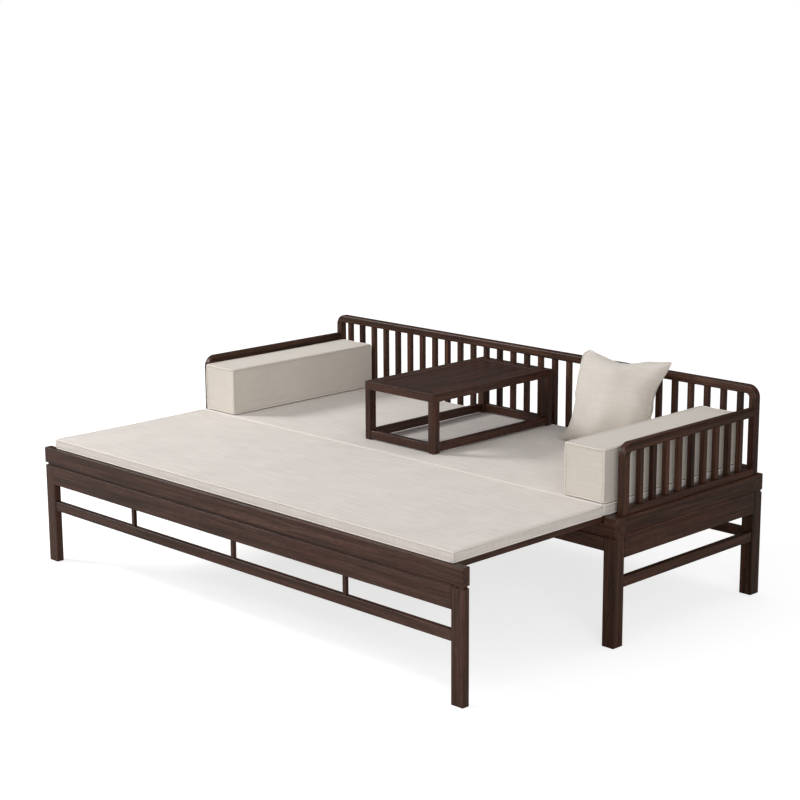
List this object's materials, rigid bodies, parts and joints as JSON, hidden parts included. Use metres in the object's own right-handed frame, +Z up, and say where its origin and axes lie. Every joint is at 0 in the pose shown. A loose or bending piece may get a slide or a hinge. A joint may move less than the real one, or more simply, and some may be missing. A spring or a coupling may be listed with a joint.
{
  "type": "luohan daybed",
  "caption": "Low wooden daybed with spindle back and arms; its slatted front frame slides out to double the seat, with mattresses, bolsters, a pillow and a small table.",
  "frame": {"origin": "on the floor, under the middle of the bed as it stands pulled out", "axes": "+X along the bed to the sitter's left, +Y towards the back railing, +Z up"},
  "size_m": [2, 1.432, 0.738],
  "materials": {
    "walnut_frame": "dark walnut, satin lacquer, grain along each piece",
    "walnut_slats": "dark walnut, thin lacquer",
    "walnut_table": "dark walnut, satin lacquer, grain along the top",
    "mattress_linen": "pale linen weave with a sewn edge",
    "bolster_linen": "pale linen weave with corner seams",
    "pillow_linen": "pale linen weave, knife edge"
  },
  "bodies": {
    "main_frame": {"main_front_seat_rail": "walnut_frame", "main_back_seat_rail": "walnut_frame", "main_left_seat_rail": "walnut_frame", "main_right_seat_rail": "walnut_frame", "main_front_apron": "walnut_frame", "main_back_apron": "walnut_frame", "main_left_apron": "walnut_frame", "main_right_apron": "walnut_frame", "main_back_stretcher": "walnut_frame", "main_left_stretcher": "walnut_frame", "main_right_stretcher": "walnut_frame", "main_back_struts": "walnut_frame", "main_back_ledge": "walnut_slats", "main_fixed_slats": "walnut_slats", "main_front_left_leg": "walnut_frame", "main_front_right_leg": "walnut_frame", "main_back_left_leg": "walnut_frame", "main_back_right_leg": "walnut_frame", "back_top_rail": "walnut_frame", "back_bottom_rail": "walnut_frame", "back_spindles": "walnut_frame", "back_left_post": "walnut_frame", "back_right_post": "walnut_frame", "left_arm_front_post": "walnut_frame", "left_arm_top_rail": "walnut_frame", "left_arm_bottom_rail": "walnut_frame", "left_arm_spindles": "walnut_frame", "right_arm_front_post": "walnut_frame", "right_arm_top_rail": "walnut_frame", "right_arm_bottom_rail": "walnut_frame", "right_arm_spindles": "walnut_frame", "rear_mattress": "mattress_linen"},
    "pull_out_frame": {"pull_out_front_rail": "walnut_frame", "pull_out_left_leg": "walnut_frame", "pull_out_right_leg": "walnut_frame", "pull_out_apron": "walnut_frame", "pull_out_stretcher": "walnut_frame", "pull_out_struts": "walnut_frame", "pull_out_slats": "walnut_slats", "pull_out_rear_bar": "walnut_frame"},
    "front_mattress": {"front_mattress": "mattress_linen"},
    "kang_table": {"table_panel": "walnut_table", "table_front_rail": "walnut_table", "table_front_stretcher": "walnut_table", "table_back_rail": "walnut_table", "table_back_stretcher": "walnut_table", "table_left_rail": "walnut_table", "table_left_stretcher": "walnut_table", "table_right_rail": "walnut_table", "table_right_stretcher": "walnut_table", "table_front_left_leg": "walnut_table", "table_front_right_leg": "walnut_table", "table_back_left_leg": "walnut_table", "table_back_right_leg": "walnut_table"},
    "left_bolster": {"left_bolster": "bolster_linen"},
    "right_bolster": {"right_bolster": "bolster_linen"},
    "throw_pillow": {"throw_pillow": "pillow_linen"}
  },
  "joints": [
    {"name": "pull_out_slide", "type": "slide", "parent": "main_frame", "child": "pull_out_frame", "axis": [0, 1, 0], "range_m": [0, 0.635]},
    {"name": "front_mattress_fold", "type": "hinge", "parent": "main_frame", "child": "front_mattress", "pos_m": [0, -0.0418, 0.4413], "axis": [-1, 0, 0], "range_deg": [0, 90]},
    {"name": "table_lift", "type": "slide", "parent": "main_frame", "child": "kang_table", "axis": [0, 0, 1], "range_m": [0, 0.35]},
    {"name": "left_bolster_lift", "type": "slide", "parent": "main_frame", "child": "left_bolster", "axis": [0, 0, 1], "range_m": [0, 0.3]},
    {"name": "right_bolster_lift", "type": "slide", "parent": "main_frame", "child": "right_bolster", "axis": [0, 0, 1], "range_m": [0, 0.3]},
    {"name": "pillow_lift", "type": "slide", "parent": "main_frame", "child": "throw_pillow", "axis": [0, -0.5, 0.866], "range_m": [0, 0.35]}
  ],
  "couplings": [
    {"joint": "front_mattress_fold", "follows": "pull_out_slide", "rad_per_m": 2.473}
  ]
}
